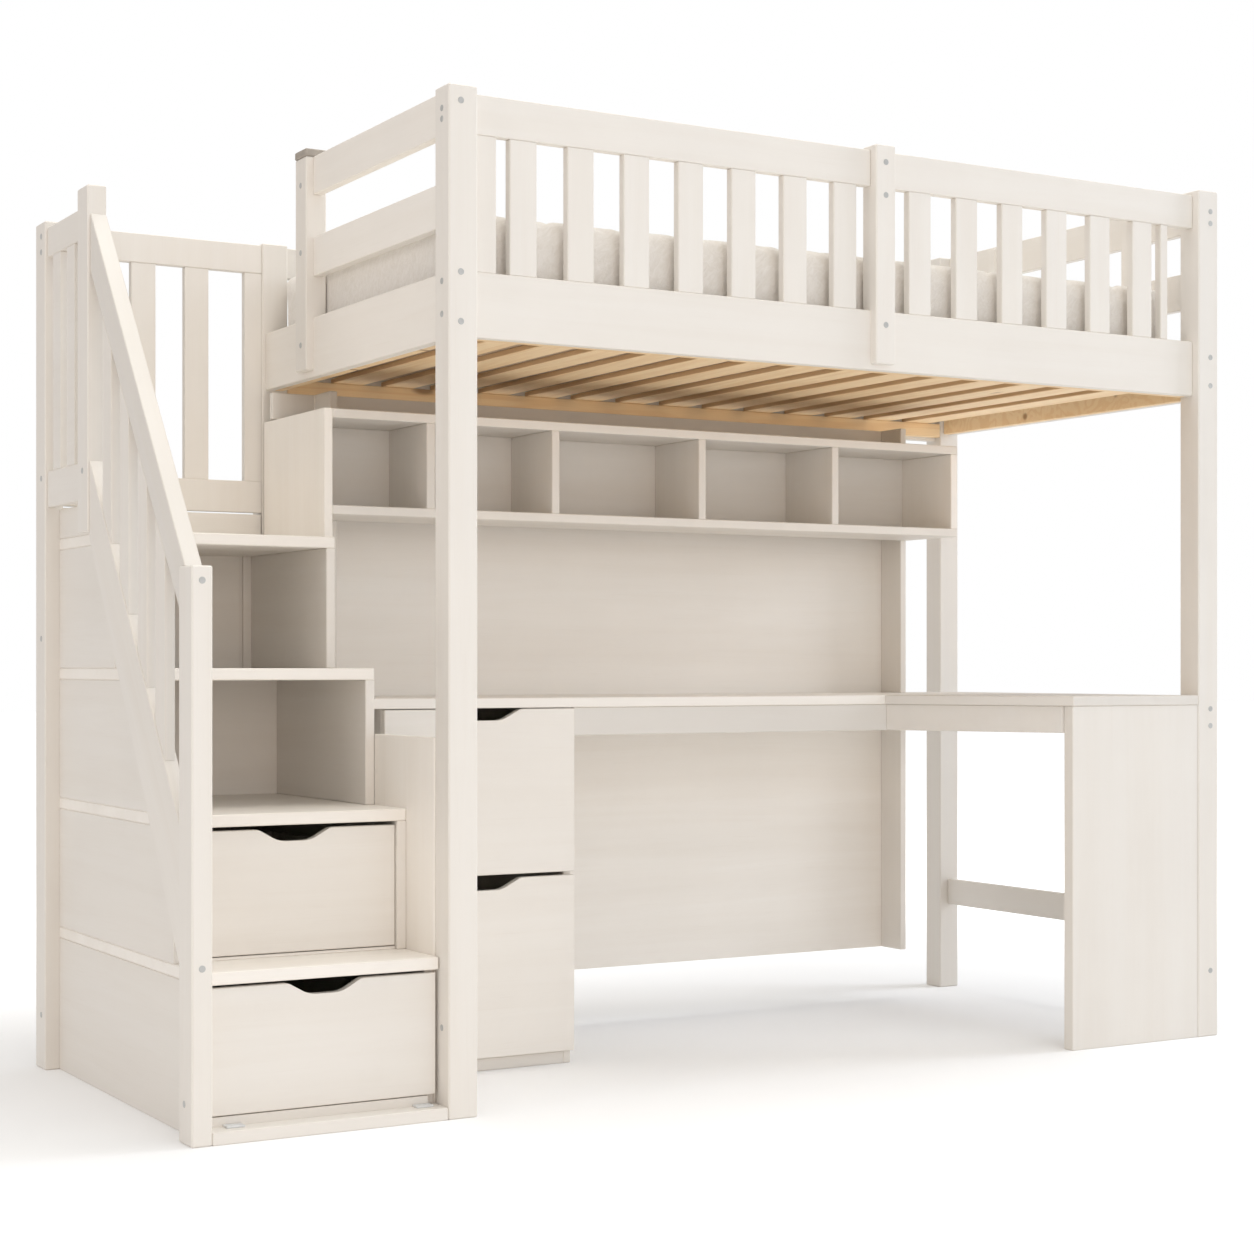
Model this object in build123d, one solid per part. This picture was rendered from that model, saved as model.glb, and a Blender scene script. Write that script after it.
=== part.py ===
"""Loft bed with a drawer stair, an L-shaped desk and a bookshelf, one STEP file per piece.

Millimetres, +Z up. The drawings below are in "bed coordinates": X runs along the bed from the
outer face of its left end, Y from its front face to its back, Z up from the floor. The stair
stands to the left of the bed, at negative X. Each piece is moved by ORIGIN as it is written, so
that the model's origin is the middle of the whole footprint, on the floor.
"""
from build123d import *
import os

# ------------------------------------------------------------------ driving dimensions
BED_LENGTH = 2020
BED_DEPTH = 1040
POST = 62
POST_TOP = 1998
BACK_RIGHT_POST_TOP = 1990
BACK_LEFT_POST_TOP = 1845
BOARD = 22                      # thickness of rails, guard boards and end boards
RAIL_RECESS = 20                # long rails sit this far inside the posts' outer faces
END_RECESS = 8                  # end boards sit this far inside the posts' outer faces

SIDE_RAIL_Z = (1514, 1642)
BACK_RAIL_Z = (1490, 1642)
END_BOARD_Z = (1508, 1638)
GUARD_TOP_Z = (1910, 1988)
END_TOP_Z = (1907, 1990)
END_MID_Z = (1728, 1814)
BACK_GUARD_Z = (1772, 1842)

GUARD_SLAT = (60, 20)           # width and thickness
GUARD_PITCH = 129.7
POST_SLAT = 51                  # the slat against the front left post
FRONT_SLATS_LEFT = (143, 7)     # first slat's left edge and the number of slats
FRONT_SLATS_RIGHT = (1122, 6)
BACK_SLATS = (131, 14)
NARROW_SLAT = (1858, 22)        # left edge and width
BATTEN_SET_IN = 250
BATTEN_WIDTH = 28

MIDDLE_POST_X = (1018, 1070)
MIDDLE_POST_DEPTH = 50
MIDDLE_POST_FOOT = 1526
ENTRY_POST_X = (-9, 39)
ENTRY_POST_Y = (695, 756)
ENTRY_POST_FOOT = 1522
ENTRY_CAP_HEIGHT = 17

CLEAT = 20                      # thickness
CLEAT_TOP = 1535
FRONT_CLEAT_FOOT = 1514
BACK_CLEAT_FOOT = 1499
END_CLEAT_FOOT = 1508
BED_SLAT = (76, 12)             # width and thickness
BED_SLATS = (177, 128, 14)      # second slat's left edge, the pitch, and the number from there on
FIRST_BED_SLAT = (65, 125)
MATTRESS = (1905, 914, 226)
MATTRESS_PLACE = (41.5, 63)     # its left end and its front, clear of the four posts
MATTRESS_ROUND = (32, 22)       # radii of its upright corners and of its rims
MATTRESS_GAP = 0.3

SHELF_Z = (1203, 1432)
SHELF_Y = (610, 820)
SHELF_X = (-2, 1724)
SHELF_BOARD = 20
THIN_BACK = 8                   # backs of the shelf and the drawer cabinet
SHELF_DIVIDERS = (252, 566, 961, 1346)
SHELF_LEFT_DEPTH = 963
SHELF_LEFT_FOOT = 1000

DESK_TOP_Z = (784, 806)
DESK_FRONT = 430
DESK_BACK = 905
DESK_RIGHT = BED_LENGTH - POST
WING_CORNER_X = 1361            # where the wing's slanted inner edge meets the main top
WING_FRONT_X = 1572             # and where it meets the front
APRON_HEIGHT = 62
APRON_INSET = 4
APRON_BOARD = 18
APRON_STEP_BACK = 8             # the wing's apron sits this far inside its slanted edge
LEG_PANEL = (2, 32)             # front and back face of the board under the wing's front edge
WALL_PANEL_X = (100, 1722)
WALL_PANEL_Z = (135, 1496)
WALL_TOP_RAIL = (18, 60)        # thickness and height of the board across the panel's top
WALL_PANEL = 10
UPRIGHT_Y = (820, DESK_BACK)
STRETCHER_X = (1984, 2004)
STRETCHER_Z = (226, 294)

CABINET_X = (59, 515)
CABINET_BACK = 890
CABINET_BOTTOM_Z = (27, 45)
PANEL = 18
FRONT = 18                      # drawer fronts
UPPER_FRONT_Z = (424, 782)
LOWER_FRONT_Z = (30, 416)
UPPER_TRAY_Z = (450, 718)
LOWER_TRAY_Z = (68, 352)
DESK_GRIP = (196, 96, 25)       # hand cut-out: width at its mouth and foot, and depth

STAIR_LEFT = -516
STAIR_RIGHT = -2
STAIR_DEPTH = 1002
STAIR_POST = (40, 70)           # across and along
FRONT_STAIR_POST_TOP = 1057
BACK_STAIR_POST_TOP = 1838
LANDING_POST_Y = (627, 697)
LANDING_POST_TOP = 1862
STAIR_PANEL_X = -484            # outer face of the stair's left side panels
STAIR_PANEL = 18
STAIR_RIGHT_PANEL = 20
TREAD = 24
TREAD_TOPS = (310, 590, 870, 1150)
TREAD_FRONTS = (40, 190, 345, 550)
BASE_BOARD = 24
BASE_STRIP_DEPTH = 61
SILL_SET_BACK = 2               # the sills under the stair's drawer fronts
SILL_DEPTH = 12
PAD = (36, 22, 4)               # glide pads: width, depth and thickness
PAD_X = (-440, -56)
STAIR_BACK = 10
CUBBY_BACKS = (832, 990)        # inner faces of the open compartments' backs
BACK_GROOVE = (-46, 9, 6)       # groove in the top one's back: its middle, width and depth
LOW_DRAWER_Z = (44, 280)
HIGH_DRAWER_Z = (318, 558)
LOW_TRAY_Z = (46, 226)
HIGH_TRAY_Z = (330, 506)
LOW_DRAWER_Y = 46               # front faces of the two stair drawers
HIGH_DRAWER_Y = 198
STAIR_TRAY_BACK = 840
STAIR_GRIP = (154, 66, 24)
STAIR_GRIP_X = -236

RAIL_SLOPE = 1.3                # rise over run of the handrail
HANDRAIL_X = (-510, -476)
HANDRAIL_TOP = 1803             # its top edge where it meets the landing post
HANDRAIL_DEPTH = 118            # its vertical cut
STRINGER_X = (-512, STAIR_PANEL_X)
STRINGER_FEET = (310, 1135)     # heights of its underside at the front and at the back
STRINGER_TOP = 1296             # its top edge's line, measured at the landing post
BALUSTER_X = (-510, -490)
BALUSTER_WIDTH = 55
BALUSTER_FRONTS = (165, 270, 380, 490)
LANDING_SLAT = 55
LANDING_GAP = 4                 # between the guards' low boards and the boards under them
LANDING_TOP_BOARD_Z = (1759, 1823)
LANDING_LOW_BOARD_Z = (1218, 1296)
LANDING_SIDE_X = (-510, -490)
LANDING_SIDE_SLATS = (740, 840)
LANDING_BACK_Y = (980, 1000)
LANDING_BACK_TOP_Z = (1775, 1840)
LANDING_BACK_LOW_Z = (1226, 1298)
LANDING_BACK_SLATS = ((-432, 56), (-308, 56), (-184, 56), (-42, 42))
SCREEN_X = (-2, 16)
SCREEN_Y = (POST, 345)
SCREEN_TOP = 735

EASE = 1.5                      # chamfer along every board's edges
FINE_EASE = 0.8                 # and along thin panels' edges
POST_EASE = 2.5
RUNNER = (12, 18)               # wooden drawer runner, width and height
RUNNER_SET_BACK = 4
DESK_TRAY_SHORT = 20            # the desk trays end this far before the cabinet's back
LOW_FRONT_SHORT = 4             # the lowest front ends this far before the stair's right side
GRIP_FOOT_R = 60                # radii in the hand cut-outs
GRIP_MOUTH_R = 26
TRAY_LIFT = 4                   # the trays' bottoms are set up this much
TRAY = 12                       # thickness of the drawer trays' walls
TRAY_BOTTOM = 6
SLIDE_GAP = 0.4                 # running gap between a drawer and what it slides on
SIDE_GAP = 2
INSET_GAP = 1                   # beside the drawer front that is set in between two panels

BOLT_R = 3
BOLT_HOLE_R = 3.3
HEAD = (5, 4)                   # radius and height
SINK = (5.5, 8)                 # counterbore radius and depth
CAP_R = 6.4
CAP_PROUD = 0.8
CAP_PLUG = 2.5
LONG = 95                       # shank through a post and into a rail's end
SHORT = 26
ENTRY_SHANK = 22
BOLT_LEFT_X = 26                # bolt lines on the posts' front and back faces
BOLT_RIGHT_X = BED_LENGTH - 24

STAIR_SIDE_X = (STAIR_PANEL_X, STAIR_PANEL_X + STAIR_PANEL)
# inner faces of the stair's side panels
STAIR_INNER_X = (STAIR_SIDE_X[1], STAIR_RIGHT - STAIR_RIGHT_PANEL)
ORIGIN = ((STAIR_LEFT + BED_LENGTH) / 2, BED_DEPTH / 2, 0)


# ------------------------------------------------------------------ helpers
def block(x, y, z):
    """A plain box between two values on each axis."""
    size = (x[1] - x[0], y[1] - y[0], z[1] - z[0])
    return Pos(x[0], y[0], z[0]) * Box(*size, align=(Align.MIN, Align.MIN, Align.MIN))


def board(x, y, z, ease=EASE):
    """A box whose edges are all eased."""
    solid = block(x, y, z)
    return chamfer(solid.edges(), ease)


def side_shape(points, x, ease=EASE):
    """A flat piece drawn in Y and Z and given its thickness along X."""
    wire = Polyline(*[(0, y, z) for y, z in points], close=True)
    solid = extrude(make_face(wire), amount=x[1] - x[0], dir=(1, 0, 0))
    solid = Pos(x[0], 0, 0) * solid
    return chamfer(solid.edges(), ease) if ease else solid


def top_shape(points, z, ease=EASE):
    """A flat piece drawn in X and Y and given its thickness along Z."""
    wire = Polyline(*[(x, y, 0) for x, y in points], close=True)
    solid = extrude(make_face(wire), amount=z[1] - z[0], dir=(0, 0, 1))
    solid = Pos(0, 0, z[0]) * solid
    return chamfer(solid.edges(), ease)


def rod(start, direction, radius, low, high):
    """A cylinder along direction, from low to high measured from start."""
    plane = Plane(origin=start, z_dir=direction)
    centre = plane.from_local_coords((0, 0, low))
    return Plane(origin=centre, z_dir=direction) * Cylinder(
        radius, high - low, align=(Align.CENTER, Align.CENTER, Align.MIN))


# ------------------------------------------------------------------ bolts
def bolt_places():
    """Every visible bolt: where its head enters, which way it runs, and its shank's length."""
    right = BED_LENGTH
    back = BED_DEPTH
    middle = POST / 2
    places = []
    for z in (1955, 1934, 1620, 1556):
        places.append(((0, middle, z), (1, 0, 0), LONG))
        places.append(((right, middle, z), (-1, 0, 0), LONG))
    for z in (1967, 1636, 1540):
        places.append(((BOLT_LEFT_X, 0, z), (0, 1, 0), LONG))
    for z in (1950, 1922, 1605, 1538):
        places.append(((BOLT_RIGHT_X, 0, z), (0, 1, 0), LONG))
        places.append(((BOLT_RIGHT_X, back, z), (0, -1, 0), LONG))
    for z in (774, 734, 155):
        places.append(((BOLT_RIGHT_X, 0, z), (0, 1, 0), SHORT))
    for z in (1807, 1620, 1556):
        places.append(((right, back - middle, z), (-1, 0, 0), LONG))
    for z in (1807, 1597, 1532):
        places.append(((0, back - middle, z), (1, 0, 0), LONG))
    for z in (1615, 1548):
        places.append(((BOLT_LEFT_X, back, z), (0, -1, 0), LONG))
    places.append(((BOLT_RIGHT_X, back, sum(STRETCHER_Z) / 2), (0, -1, 0), LONG))
    places.append(((0, middle, 174), (1, 0, 0), SHORT))
    for z in (1961, 1890, 1610):
        places.append(((sum(MIDDLE_POST_X) / 2, 0, z), (0, 1, 0), SHORT))
    for z in (1930, 1782, 1579):
        places.append(((ENTRY_POST_X[0], sum(ENTRY_POST_Y) / 2, z), (1, 0, 0), ENTRY_SHANK))
    for z in (324, 1030):
        places.append(((STAIR_LEFT + STAIR_POST[0] / 2, 0, z), (0, 1, 0), SHORT))
    for y, z in ((40, 74), (960, 1808), (960, 1774), (960, 1282), (960, 934), (960, 117), (662, 1277)):
        places.append(((STAIR_LEFT, y, z), (1, 0, 0), SHORT))
    return places


def cut_bolt_holes(solid):
    """Sink every bolt that passes through this piece."""
    box = solid.bounding_box()
    for start, direction, length in bolt_places():
        end = [s + d * (SINK[1] + length) for s, d in zip(start, direction)]
        reach = SINK[0]
        low = [min(s, e) - reach for s, e in zip(start, end)]
        high = [max(s, e) + reach for s, e in zip(start, end)]
        corners = zip(low, high, box.min, box.max)
        if all(h > b_low and l < b_high for l, h, b_low, b_high in corners):
            solid = solid - rod(start, direction, SINK[0], -1, SINK[1])
            solid = solid - rod(start, direction, BOLT_HOLE_R, 0, SINK[1] + length + 2)
    return solid


def bolts():
    """Socket-head bolts, one solid each."""
    made = []
    for start, direction, length in bolt_places():
        head = rod(start, direction, HEAD[0], SINK[1] - HEAD[1], SINK[1])
        socket = rod(start, direction, HEAD[0] / 2, SINK[1] - HEAD[1], SINK[1] - HEAD[1] / 2)
        shank = rod(start, direction, BOLT_R, SINK[1], SINK[1] + length)
        made.append(head + shank - socket)
    return made


def bolt_caps():
    """Push-in caps whose brims lie on the posts' faces."""
    made = []
    for start, direction, _ in bolt_places():
        brim = rod(start, direction, CAP_R, -CAP_PROUD, 0)
        brim = chamfer(brim.edges().sort_by(lambda e: e.center().dot(Vector(*direction)))[0], 0.5)
        plug = rod(start, direction, SINK[0] - 0.2, 0, CAP_PLUG)
        made.append(brim + plug)
    return made


# ------------------------------------------------------------------ bed frame
def post(x, y, top):
    return cut_bolt_holes(board((x, x + POST), (y, y + POST), (0, top), POST_EASE))


def middle_post():
    """Laps over the front rail: its lower part is only as thick as the rail's recess."""
    solid = board(MIDDLE_POST_X, (0, MIDDLE_POST_DEPTH), (MIDDLE_POST_FOOT, POST_TOP), POST_EASE)
    lap = block((MIDDLE_POST_X[0] - 1, MIDDLE_POST_X[1] + 1), (RAIL_RECESS, MIDDLE_POST_DEPTH + 1),
                (MIDDLE_POST_FOOT - 1, SIDE_RAIL_Z[1]))
    return cut_bolt_holes(solid - lap)


def entry_post():
    """Laps over the low end board beside the way in from the stair."""
    solid = board(ENTRY_POST_X, ENTRY_POST_Y, (ENTRY_POST_FOOT, END_TOP_Z[1]), POST_EASE)
    lap = block((END_RECESS, ENTRY_POST_X[1] + 1), (ENTRY_POST_Y[0] - 1, ENTRY_POST_Y[1] + 1),
                (ENTRY_POST_FOOT - 1, END_BOARD_Z[1]))
    return cut_bolt_holes(solid - lap)


def entry_post_cap():
    x = (ENTRY_POST_X[0] - 1, ENTRY_POST_X[1] + 1)
    y = (ENTRY_POST_Y[0] - 1, ENTRY_POST_Y[1] + 1)
    z = END_TOP_Z[1]
    return board(x, y, (z, z + ENTRY_CAP_HEIGHT), 2)


def long_board(z, back=False, x=(POST, BED_LENGTH - POST)):
    """A board between the posts, along the front or the back of the bed."""
    y = (RAIL_RECESS, RAIL_RECESS + BOARD)
    if back:
        y = (BED_DEPTH - RAIL_RECESS - BOARD, BED_DEPTH - RAIL_RECESS)
    return cut_bolt_holes(board(x, y, z))


def end_board(z, right=False, y=(POST, BED_DEPTH - POST)):
    """A board between the posts across one end of the bed."""
    x = (END_RECESS, END_RECESS + BOARD)
    if right:
        x = (BED_LENGTH - END_RECESS - BOARD, BED_LENGTH - END_RECESS)
    return cut_bolt_holes(board(x, y, z))


def guard_slat(x, width, z, y):
    return board((x, x + width), y, z)


def front_guard_slats():
    """Upright slats between the front rail and the guard rail, either side of the middle post."""
    y = (RAIL_RECESS + 1, RAIL_RECESS + 1 + GUARD_SLAT[1])
    z = (SIDE_RAIL_Z[1], GUARD_TOP_Z[0])
    width = GUARD_SLAT[0]
    made = [guard_slat(POST, POST_SLAT, z, y)]
    for first, count in (FRONT_SLATS_LEFT, FRONT_SLATS_RIGHT):
        made += [guard_slat(first + i * GUARD_PITCH, width, z, y) for i in range(count)]
    made.append(guard_slat(*NARROW_SLAT, z, y))
    return made


def back_guard_slats():
    y = (BED_DEPTH - RAIL_RECESS - 1 - GUARD_SLAT[1], BED_DEPTH - RAIL_RECESS - 1)
    z = (BACK_RAIL_Z[1], BACK_GUARD_Z[0])
    first, count = BACK_SLATS
    return [guard_slat(first + i * GUARD_PITCH, GUARD_SLAT[0], z, y) for i in range(count)]


def right_guard():
    """Two boards across the right end, and two upright battens behind them."""
    x = BED_LENGTH - END_RECESS - BOARD
    made = [end_board(END_TOP_Z, right=True), end_board(END_MID_Z, right=True)]
    z = (END_MID_Z[0] + 6, END_TOP_Z[1] - 10)
    for y in (BATTEN_SET_IN, BED_DEPTH - BATTEN_SET_IN - BATTEN_WIDTH):
        made.append(board((x - GUARD_SLAT[1], x), (y, y + BATTEN_WIDTH), z))
    return made


def cleats():
    """Pine strips inside the four rails: the slats rest on the long two and lie between the short two."""
    inner = RAIL_RECESS + BOARD
    long_x = (POST, BED_LENGTH - POST)
    end_x = END_RECESS + BOARD
    short_y = (POST, BED_DEPTH - POST)
    end_z = (END_CLEAT_FOOT, CLEAT_TOP + BED_SLAT[1])
    return [
        board(long_x, (inner, inner + CLEAT), (FRONT_CLEAT_FOOT, CLEAT_TOP)),
        board(long_x, (BED_DEPTH - inner - CLEAT, BED_DEPTH - inner), (BACK_CLEAT_FOOT, CLEAT_TOP)),
        board((end_x, end_x + CLEAT), short_y, end_z),
        board((BED_LENGTH - end_x - CLEAT, BED_LENGTH - end_x), short_y, end_z),
    ]


def bed_slats():
    z = (CLEAT_TOP, CLEAT_TOP + BED_SLAT[1])
    inner = RAIL_RECESS + BOARD + 2
    first, pitch, count = BED_SLATS
    edges = [FIRST_BED_SLAT] + [(first + i * pitch, first + i * pitch + BED_SLAT[0]) for i in range(count)]
    return [board(x, (inner, BED_DEPTH - inner), z) for x in edges]


def mattress():
    foot = CLEAT_TOP + BED_SLAT[1] + MATTRESS_GAP
    left, front = MATTRESS_PLACE
    solid = block((left, left + MATTRESS[0]), (front, front + MATTRESS[1]), (foot, foot + MATTRESS[2]))
    solid = fillet(solid.edges().filter_by(Axis.Z), MATTRESS_ROUND[0])
    rims = solid.edges().group_by(Axis.Z)
    return fillet(rims[0] + rims[-1], MATTRESS_ROUND[1])


# ------------------------------------------------------------------ bookshelf
def shelf_sides():
    """The left side is the deep one: it also closes the end of the stair's top box."""
    left_x = (SHELF_X[0], SHELF_X[0] + SHELF_BOARD)
    right_x = (SHELF_X[1] - SHELF_BOARD, SHELF_X[1])
    inner_z = (SHELF_Z[0] + SHELF_BOARD, SHELF_Z[1] - SHELF_BOARD)
    return [board(left_x, (SHELF_Y[0], SHELF_LEFT_DEPTH), (SHELF_LEFT_FOOT, SHELF_Z[1])),
            board(right_x, SHELF_Y, inner_z)]


def shelf_top():
    return board((SHELF_X[0] + SHELF_BOARD, SHELF_X[1]), SHELF_Y, (SHELF_Z[1] - SHELF_BOARD, SHELF_Z[1]))


def shelf_bottom():
    return board((SHELF_X[0] + SHELF_BOARD, SHELF_X[1]), SHELF_Y, (SHELF_Z[0], SHELF_Z[0] + SHELF_BOARD))


def shelf_back():
    x = (SHELF_X[0] + SHELF_BOARD, SHELF_X[1] - SHELF_BOARD)
    z = (SHELF_Z[0] + SHELF_BOARD, SHELF_Z[1] - SHELF_BOARD)
    return board(x, (SHELF_Y[1] - THIN_BACK, SHELF_Y[1]), z, FINE_EASE)


def shelf_dividers():
    z = (SHELF_Z[0] + SHELF_BOARD, SHELF_Z[1] - SHELF_BOARD)
    y = (SHELF_Y[0], SHELF_Y[1] - THIN_BACK)
    half = SHELF_BOARD / 2
    return [board((x - half, x + half), y, z) for x in SHELF_DIVIDERS]


# ------------------------------------------------------------------ desk
def desk_main_top():
    return board((0, DESK_RIGHT), (DESK_FRONT, DESK_BACK), DESK_TOP_Z)


def desk_wing_top():
    outline = [(WING_CORNER_X, DESK_FRONT), (WING_FRONT_X, 0), (DESK_RIGHT, 0), (DESK_RIGHT, DESK_FRONT)]
    return top_shape(outline, DESK_TOP_Z)


def desk_aprons():
    """One under the main top's front edge, one under the wing's slanted edge."""
    z = (DESK_TOP_Z[0] - APRON_HEIGHT, DESK_TOP_Z[0])
    front = DESK_FRONT + APRON_INSET
    run = front - LEG_PANEL[1]
    lean = (WING_FRONT_X - WING_CORNER_X) / DESK_FRONT
    top = (WING_CORNER_X + APRON_STEP_BACK, front)
    low = (top[0] + lean * run, LEG_PANEL[1])
    main = board((CABINET_X[1], top[0] + APRON_BOARD), (front, front + APRON_BOARD), z)
    outline = [top, low, (low[0] + APRON_BOARD, low[1]), (top[0] + APRON_BOARD, top[1])]
    return [main, top_shape(outline, z)]


def desk_leg_panel():
    return board((WING_FRONT_X, DESK_RIGHT), LEG_PANEL, (0, DESK_TOP_Z[0]))


def side_stretcher():
    return cut_bolt_holes(board(STRETCHER_X, (POST, BED_DEPTH - POST), STRETCHER_Z))


def wall_panel():
    return board(WALL_PANEL_X, (DESK_BACK, DESK_BACK + WALL_PANEL), WALL_PANEL_Z, FINE_EASE)


def uprights():
    """Boards that hold the wall panel: two above the desk, one below it and one across its top."""
    left = (WALL_PANEL_X[0], WALL_PANEL_X[0] + PANEL)
    right = (WALL_PANEL_X[1] - PANEL, WALL_PANEL_X[1])
    above = (DESK_TOP_Z[1], WALL_PANEL_Z[1])
    back = DESK_BACK + WALL_PANEL
    rail_x = (0, WALL_PANEL_X[1])
    rail_z = (WALL_PANEL_Z[1] - WALL_TOP_RAIL[1], WALL_PANEL_Z[1])
    return [board(left, UPRIGHT_Y, above), board(right, UPRIGHT_Y, above),
            board(right, UPRIGHT_Y, (WALL_PANEL_Z[0], DESK_TOP_Z[0])),
            board(rail_x, (back, back + WALL_TOP_RAIL[0]), rail_z)]


# ------------------------------------------------------------------ desk drawer cabinet
def cabinet_sides():
    y = (DESK_FRONT + FRONT + 1, CABINET_BACK)
    z = (0, DESK_TOP_Z[0])
    return [board((CABINET_X[0], CABINET_X[0] + PANEL), y, z),
            board((CABINET_X[1] - PANEL, CABINET_X[1]), y, z)]


def cabinet_base():
    """The bottom panel and the plinth board under its front edge."""
    x = (CABINET_X[0] + PANEL, CABINET_X[1] - PANEL)
    y = DESK_FRONT + FRONT + 1
    return [board(x, (y, CABINET_BACK), CABINET_BOTTOM_Z),
            board(x, (y, y + PANEL), (0, CABINET_BOTTOM_Z[0]))]


def cabinet_back():
    x = (CABINET_X[0] + PANEL, CABINET_X[1] - PANEL)
    y = (CABINET_BACK - THIN_BACK, CABINET_BACK)
    return board(x, y, (CABINET_BOTTOM_Z[1], DESK_TOP_Z[0]), FINE_EASE)


# ------------------------------------------------------------------ drawers
def drawer_front(x, y, z, grip_x, grip):
    """A board with a shallow hand cut-out in its top edge."""
    solid = board(x, (y, y + FRONT), z)
    mouth, foot, depth = grip
    points = [(grip_x - mouth / 2, z[1] + 1), (grip_x - foot / 2, z[1] - depth),
              (grip_x + foot / 2, z[1] - depth), (grip_x + mouth / 2, z[1] + 1)]
    wire = Polyline(*[(px, 0, pz) for px, pz in points], close=True)
    cutter = extrude(make_face(wire), amount=FRONT + 2, dir=(0, 1, 0))
    cutter = Pos(0, y - 1, 0) * cutter
    low_corners = cutter.edges().filter_by(Axis.Y).group_by(Axis.Z)[0]
    solid = solid - fillet(low_corners, GRIP_FOOT_R)
    mouth_corners = []
    for edge in solid.edges().filter_by(Axis.Y):
        centre = edge.center()
        beside = abs(abs(centre.X - grip_x) - mouth / 2) < GRIP_MOUTH_R
        if beside and abs(centre.Z - z[1]) < 1:
            mouth_corners.append(edge)
    return fillet(mouth_corners, GRIP_MOUTH_R)


def drawer_tray(x, y, z):
    """Two sides, a back and a bottom, open at the top; the front board closes it."""
    sides = [board((x[0], x[0] + TRAY), y, z), board((x[1] - TRAY, x[1]), y, z)]
    inner = (x[0] + TRAY, x[1] - TRAY)
    back = board(inner, (y[1] - TRAY, y[1]), z)
    foot = z[0] + TRAY_LIFT
    bottom = board(inner, (y[0], y[1] - TRAY), (foot, foot + TRAY_BOTTOM), FINE_EASE)
    return sides + [back, bottom]


def runner_pair(inner_x, y, tray_foot):
    """Wooden runners on the two side panels, just under a drawer's tray."""
    top = tray_foot - SLIDE_GAP
    z = (top - RUNNER[1], top)
    return [board((inner_x[0], inner_x[0] + RUNNER[0]), y, z),
            board((inner_x[1] - RUNNER[0], inner_x[1]), y, z)]


def drawer(inner_x, front_y, tray_back, front_x, front_z, tray_z, grip_x, grip):
    """Front board, tray and runners of a drawer that slides between two panels."""
    tray_x = (inner_x[0] + SIDE_GAP, inner_x[1] - SIDE_GAP)
    tray_front = front_y + FRONT
    return (drawer_front(front_x, front_y, front_z, grip_x, grip),
            drawer_tray(tray_x, (tray_front, tray_back), tray_z),
            runner_pair(inner_x, (tray_front + RUNNER_SET_BACK, tray_back), tray_z[0]))


def drawers():
    """All four drawers by name."""
    desk_x = (CABINET_X[0] + PANEL, CABINET_X[1] - PANEL)
    desk_back = CABINET_BACK - DESK_TRAY_SHORT
    desk_grip_x = sum(CABINET_X) / 2
    low_x = (STAIR_LEFT + STAIR_POST[0] + SIDE_GAP, STAIR_RIGHT - LOW_FRONT_SHORT)
    high_x = (STAIR_INNER_X[0] + INSET_GAP, STAIR_INNER_X[1] - INSET_GAP)
    return {
        "desk_drawer_upper": drawer(desk_x, DESK_FRONT, desk_back, CABINET_X, UPPER_FRONT_Z,
                                    UPPER_TRAY_Z, desk_grip_x, DESK_GRIP),
        "desk_drawer_lower": drawer(desk_x, DESK_FRONT, desk_back, CABINET_X, LOWER_FRONT_Z,
                                    LOWER_TRAY_Z, desk_grip_x, DESK_GRIP),
        "stair_drawer_lower": drawer(STAIR_INNER_X, LOW_DRAWER_Y, STAIR_TRAY_BACK, low_x, LOW_DRAWER_Z,
                                     LOW_TRAY_Z, STAIR_GRIP_X, STAIR_GRIP),
        "stair_drawer_upper": drawer(STAIR_INNER_X, HIGH_DRAWER_Y, STAIR_TRAY_BACK, high_x, HIGH_DRAWER_Z,
                                     HIGH_TRAY_Z, STAIR_GRIP_X, STAIR_GRIP),
    }


# ------------------------------------------------------------------ stair
def stair_post(y, top, foot=0):
    x = (STAIR_LEFT, STAIR_LEFT + STAIR_POST[0])
    return cut_bolt_holes(board(x, y, (foot, top), POST_EASE))


def stair_post_places():
    """The front and back posts' footprints, which boards are notched around."""
    x = (STAIR_LEFT, STAIR_LEFT + STAIR_POST[0])
    full = (-1, POST_TOP)
    return [block(x, (0, STAIR_POST[1]), full),
            block(x, (STAIR_DEPTH - STAIR_POST[1], STAIR_DEPTH), full)]


def treads():
    """Four full-depth boards, each the top of one box, and the sill under the upper drawer's front."""
    made = []
    for top, front in zip(TREAD_TOPS, TREAD_FRONTS):
        solid = board((STAIR_PANEL_X, STAIR_RIGHT), (front, STAIR_DEPTH - 2), (top - TREAD, top), 2)
        for footprint in stair_post_places():
            solid = solid - footprint
        made.append(solid)
    sill_y = (HIGH_DRAWER_Y + SILL_SET_BACK, HIGH_DRAWER_Y + SILL_SET_BACK + SILL_DEPTH)
    made.append(board(STAIR_INNER_X, sill_y, (TREAD_TOPS[0], HIGH_DRAWER_Z[0] - SIDE_GAP), FINE_EASE))
    return made


def box_levels():
    """Floor and ceiling of each of the stair's four boxes."""
    floors = (0,) + TREAD_TOPS[:3]
    return [(floor, top - TREAD) for floor, top in zip(floors, TREAD_TOPS)]


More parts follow.
